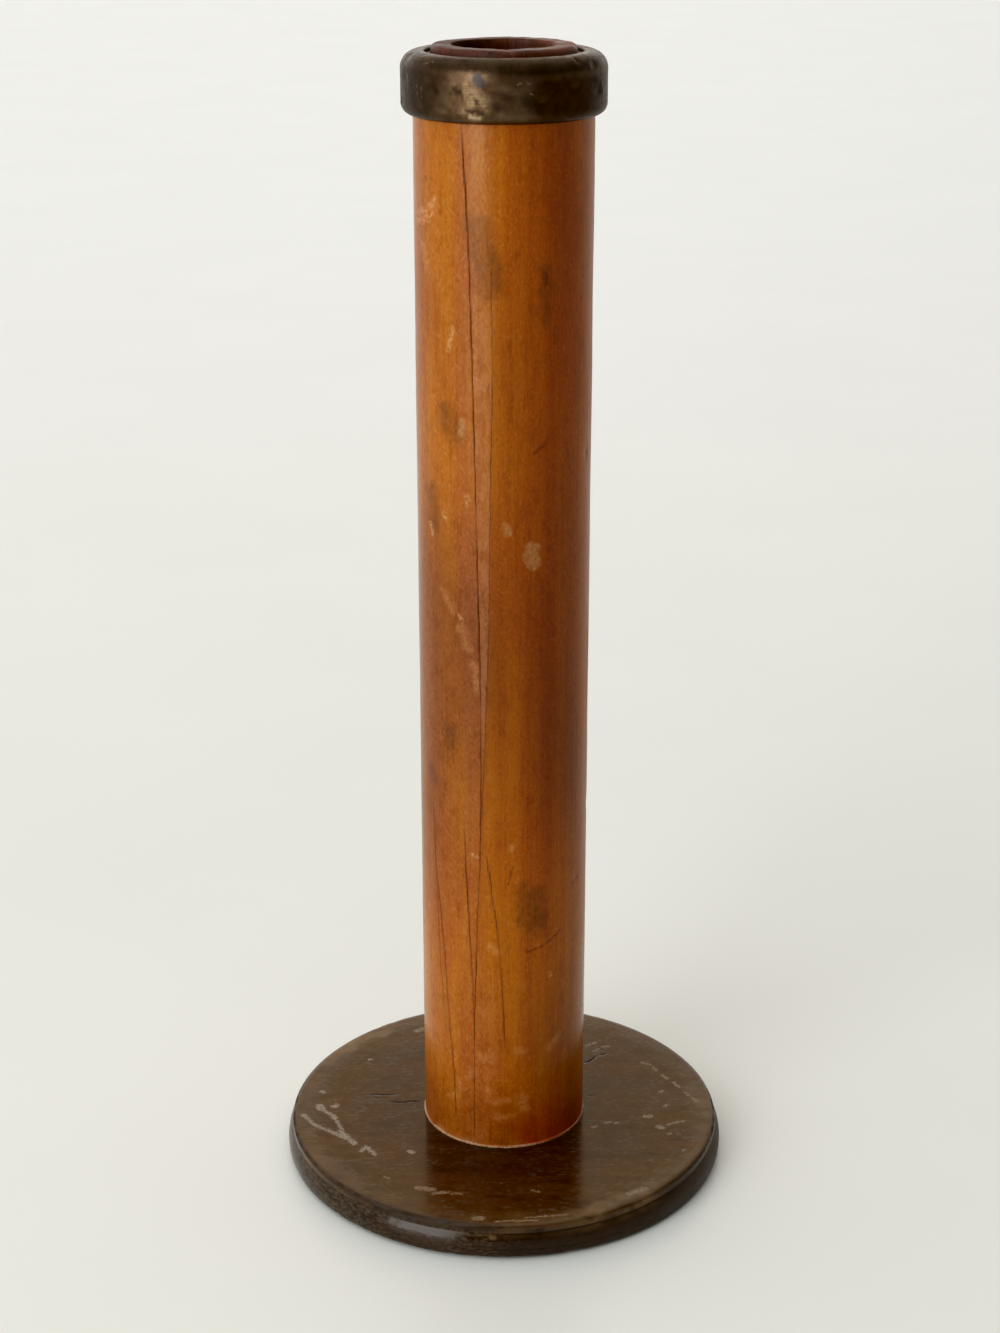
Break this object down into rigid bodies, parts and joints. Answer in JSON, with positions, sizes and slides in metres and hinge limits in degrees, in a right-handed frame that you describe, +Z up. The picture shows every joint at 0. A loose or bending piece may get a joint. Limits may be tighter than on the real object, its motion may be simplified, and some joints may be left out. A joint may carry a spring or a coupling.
{
  "type": "textile mill bobbin",
  "caption": "Wooden textile mill bobbin: a straight varnished barrel on a wide round head, with a spun brass collar at the tip and a bushed bore for a spindle.",
  "frame": {"origin": "centre of the head's underside, where the bobbin stands", "axes": "+Z up along the spindle axis from the head to the tip, -Y towards the side seen in the picture"},
  "size_m": [0.1124, 0.1124, 0.279],
  "materials": {
    "barrel_wood": "honey-amber varnish, worn and cracked along the grain",
    "head_wood": "dark brown stain under worn gloss varnish",
    "collar_brass": "spun sheet brass, dark olive-brown tarnish with bare spots",
    "bush_fibre": "red-brown, satin, rounded by wear"
  },
  "bodies": {
    "root": {"barrel": "barrel_wood", "flange_top_ply": "head_wood", "flange_core_ply": "head_wood", "flange_base_ply": "head_wood", "top_collar": "collar_brass", "top_bush": "bush_fibre", "bottom_bush": "bush_fibre"}
  },
  "joints": []
}
